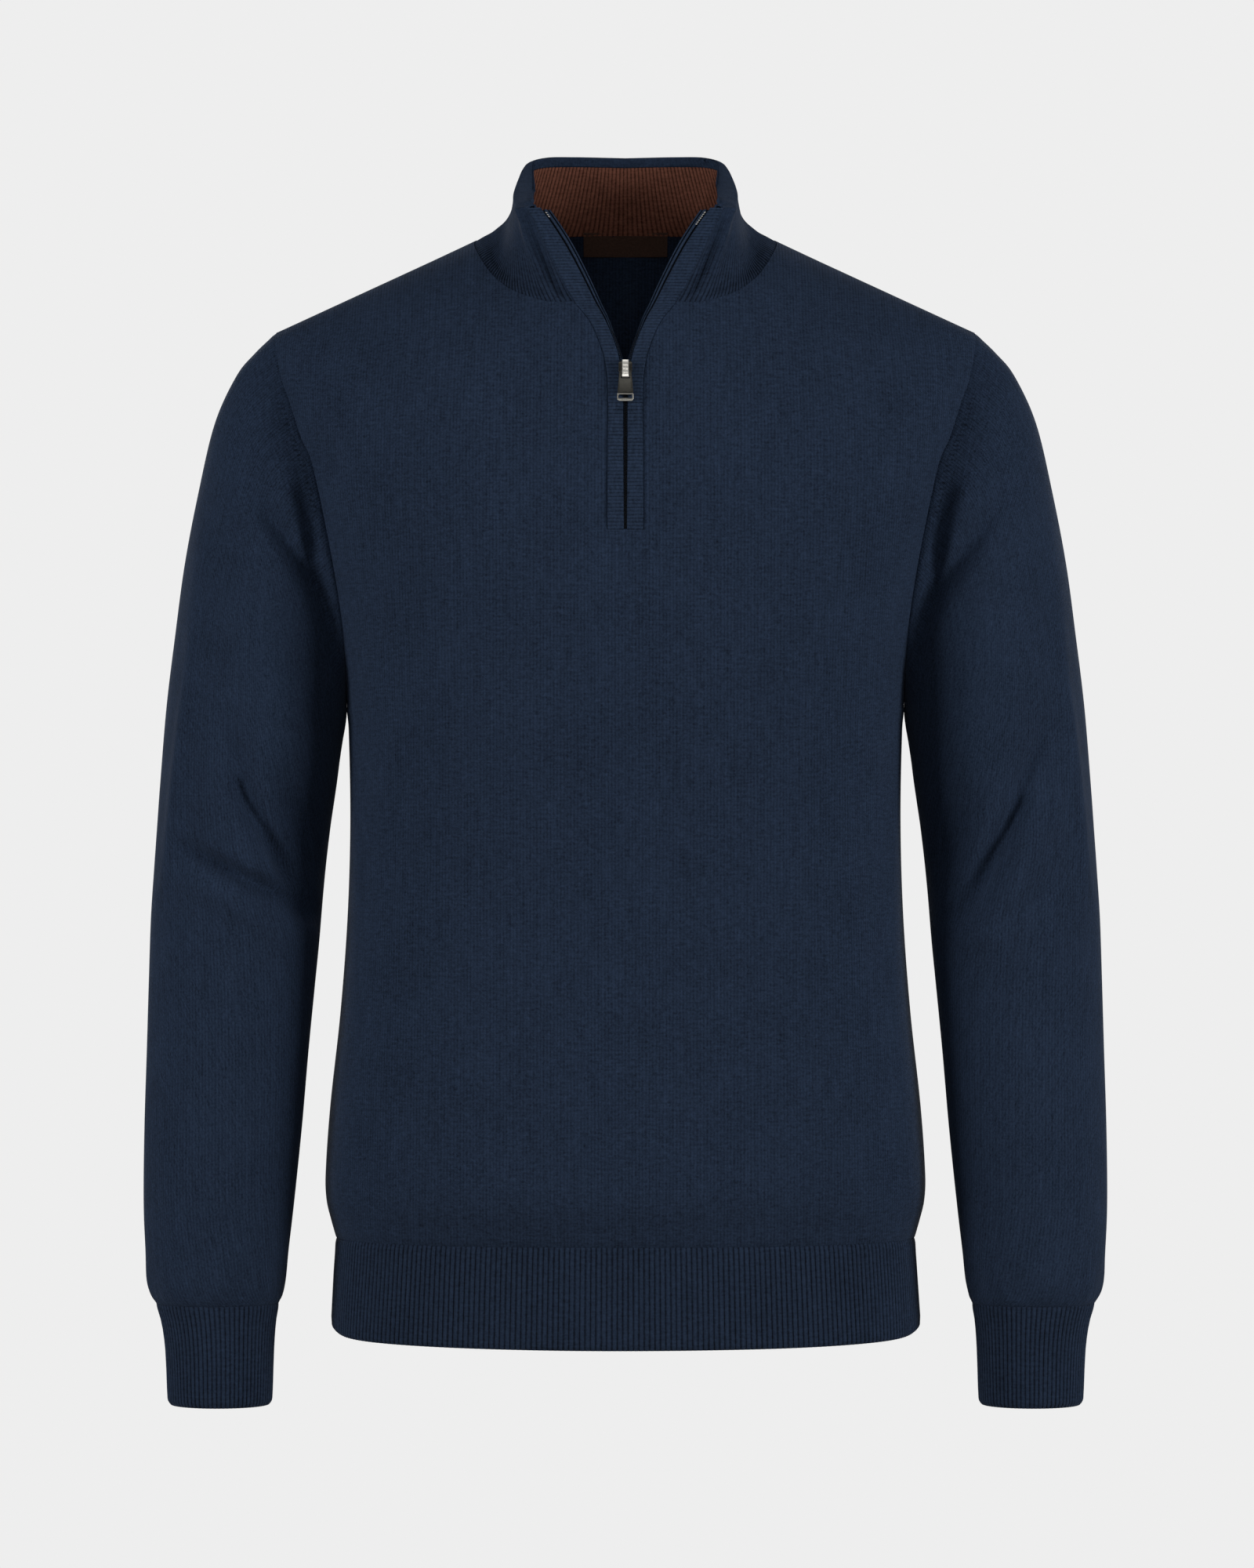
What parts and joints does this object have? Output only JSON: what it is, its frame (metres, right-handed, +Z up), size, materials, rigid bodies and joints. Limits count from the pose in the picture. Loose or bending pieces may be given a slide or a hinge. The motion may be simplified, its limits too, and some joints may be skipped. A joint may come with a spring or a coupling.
{
  "type": "quarter zip sweater",
  "caption": "Fine-knit long-sleeved sweater with a stand collar and a short front zip, in its worn shape with nobody in it.",
  "frame": {"origin": "middle of the neck, 2 mm above the points at either side where the shoulder seams meet the collar, and 4 mm in front of those seams", "axes": "+Z up, -Y towards the front with the zip, +X towards the wearer's left sleeve"},
  "size_m": [0.5918, 0.2479, 0.772],
  "materials": {
    "navy_knit": "fine plain jersey knit, matt with a slight soft nap",
    "navy_rib": "fine one by one rib knit, matt",
    "brown_rib": "fine rib knit, dark brown, matt",
    "zip_tape": "woven zip tape, dark navy",
    "label": "woven satin label, very dark brown, bare",
    "dark_metal": "gunmetal, softly polished",
    "bright_metal": "bright nickel plate"
  },
  "bodies": {
    "garment": {"front": "navy_knit", "back": "navy_knit", "sleeve_left": "navy_knit", "sleeve_right": "navy_knit", "cuff_left": "navy_rib", "cuff_right": "navy_rib", "hem_rib": "navy_rib", "collar_outer": "navy_rib", "collar_inner": "brown_rib", "placket_band_left": "navy_rib", "placket_band_right": "navy_rib", "zip_tape_left": "zip_tape", "zip_tape_right": "zip_tape", "neck_label": "label", "slider_body": "dark_metal", "slider_bridge": "bright_metal"},
    "pull": {"pull_tab": "dark_metal", "pull_end": "bright_metal"}
  },
  "joints": [
    {"name": "pull_swing", "type": "hinge", "parent": "garment", "child": "pull", "pos_m": [0, -0.11418, -0.08978], "axis": [-1, 0, 0], "range_deg": [0, 130]}
  ]
}
